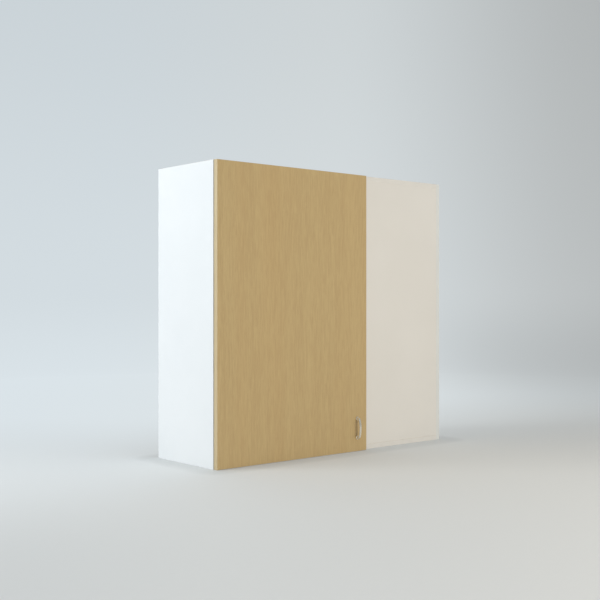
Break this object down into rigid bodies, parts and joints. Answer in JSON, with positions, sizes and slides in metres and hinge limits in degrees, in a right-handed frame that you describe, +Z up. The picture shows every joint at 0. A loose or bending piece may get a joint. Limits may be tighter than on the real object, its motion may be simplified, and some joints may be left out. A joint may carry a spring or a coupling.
{
  "type": "corner wall cabinet",
  "caption": "Frameless blind corner kitchen wall cabinet: white carcass, flat oak-look door on concealed hinges, bow handle and a fixed blind front panel.",
  "frame": {"origin": "under the cabinet, at the middle of its width and of its overall depth, on the plane of its underside", "axes": "+X along the front from the hinged door to the blind panel, +Y towards the wall, +Z up; the door and handle face -Y"},
  "size_m": [1, 0.339, 0.92],
  "materials": {
    "carcass_board": "particle board with a white melamine face, very fine even texture, soft sheen",
    "blind_board": "particle board with an off-white melamine face, soft sheen",
    "back_board": "thin hard fibre board, lacquered white in front and raw brown behind",
    "carcass_band": "off-white plastic edge band, satin, eased edges",
    "door_board": "light golden oak look, fine straight vertical grain, satin",
    "door_band": "light oak look edge band, satin, eased edges",
    "bumper_rubber": "soft clear rubber",
    "dowel_wood": "plain beech",
    "cam_metal": "cast zinc alloy, dull",
    "screw_steel": "zinc plated steel",
    "pin_steel": "nickel plated steel",
    "pivot_steel": "plain steel pins",
    "hinge_steel": "nickel plated pressed steel, bright satin",
    "handle_metal": "satin nickel plated zinc alloy",
    "hanger_steel": "zinc plated pressed steel",
    "white_plastic": "white moulded plastic, satin"
  },
  "bodies": {
    "carcass": {"left_side": "carcass_board", "right_side": "carcass_board", "top_panel": "carcass_board", "bottom_panel": "carcass_board", "blind_panel": "blind_board", "back_panel": "back_board", "lower_shelf": "carcass_board", "upper_shelf": "carcass_board", "left_side_edge_band": "carcass_band", "right_side_edge_band": "carcass_band", "top_panel_edge_band": "carcass_band", "bottom_panel_edge_band": "carcass_band", "blind_panel_edge_band": "carcass_band", "lower_shelf_edge_band": "carcass_band", "upper_shelf_edge_band": "carcass_band", "door_bumpers": "bumper_rubber", "wooden_dowels": "dowel_wood", "cam_housings": "cam_metal", "cam_bolts": "screw_steel", "cam_caps": "white_plastic", "lower_shelf_pins": "pin_steel", "upper_shelf_pins": "pin_steel", "hinge_arm_pins": "pivot_steel", "hinge_plate_screws": "screw_steel", "hinge_adjusting_screws": "screw_steel", "hanger_fixing_screws": "screw_steel", "hanger_adjusting_screws": "screw_steel", "lower_hinge_arm": "hinge_steel", "lower_hinge_mounting_plate": "hinge_steel", "middle_hinge_arm": "hinge_steel", "middle_hinge_mounting_plate": "hinge_steel", "upper_hinge_arm": "hinge_steel", "upper_hinge_mounting_plate": "hinge_steel", "left_hanger_housing": "hanger_steel", "left_hanger_cover": "white_plastic", "right_hanger_housing": "hanger_steel", "right_hanger_cover": "white_plastic"},
    "door": {"door_panel": "door_board", "door_left_edge_band": "door_band", "door_right_edge_band": "door_band", "door_top_edge_band": "door_band", "door_bottom_edge_band": "door_band", "lower_hinge_cup": "hinge_steel", "middle_hinge_cup": "hinge_steel", "upper_hinge_cup": "hinge_steel", "hinge_cup_pins": "pivot_steel", "hinge_cup_screws": "screw_steel", "handle": "handle_metal", "handle_screws": "screw_steel"},
    "outer_links": {"lower_hinge_outer_link": "hinge_steel", "middle_hinge_outer_link": "hinge_steel", "upper_hinge_outer_link": "hinge_steel"},
    "inner_links": {"lower_hinge_inner_link": "hinge_steel", "middle_hinge_inner_link": "hinge_steel", "upper_hinge_inner_link": "hinge_steel"},
    "left_hanger": {"left_hanger_hook": "hanger_steel", "left_wall_plate": "hanger_steel"},
    "right_hanger": {"right_hanger_hook": "hanger_steel", "right_wall_plate": "hanger_steel"}
  },
  "joints": [
    {"name": "outer_link_turn", "type": "hinge", "parent": "carcass", "child": "outer_links", "pos_m": [-0.463, -0.1285, 0.46], "axis": [0, 0, -1], "range_deg": [-29.3, 0]},
    {"name": "door_swing", "type": "hinge", "parent": "outer_links", "child": "door", "pos_m": [-0.4875, -0.1357, 0.46], "axis": [0, 0, -1], "range_deg": [0, 124]},
    {"name": "inner_link_turn", "type": "hinge", "parent": "carcass", "child": "inner_links", "pos_m": [-0.4708, -0.1375, 0.46], "axis": [0, 0, -1], "range_deg": [-27.3, 0]},
    {"name": "left_hanger_height", "type": "slide", "parent": "carcass", "child": "left_hanger", "axis": [0, 0, 1], "range_m": [-0.005, 0.005]},
    {"name": "right_hanger_height", "type": "slide", "parent": "carcass", "child": "right_hanger", "axis": [0, 0, 1], "range_m": [-0.005, 0.005]}
  ],
  "couplings": [
    {"joint": "outer_link_turn", "follows": "door_swing", "ratio": -0.236},
    {"joint": "inner_link_turn", "follows": "door_swing", "ratio": -0.2192}
  ]
}
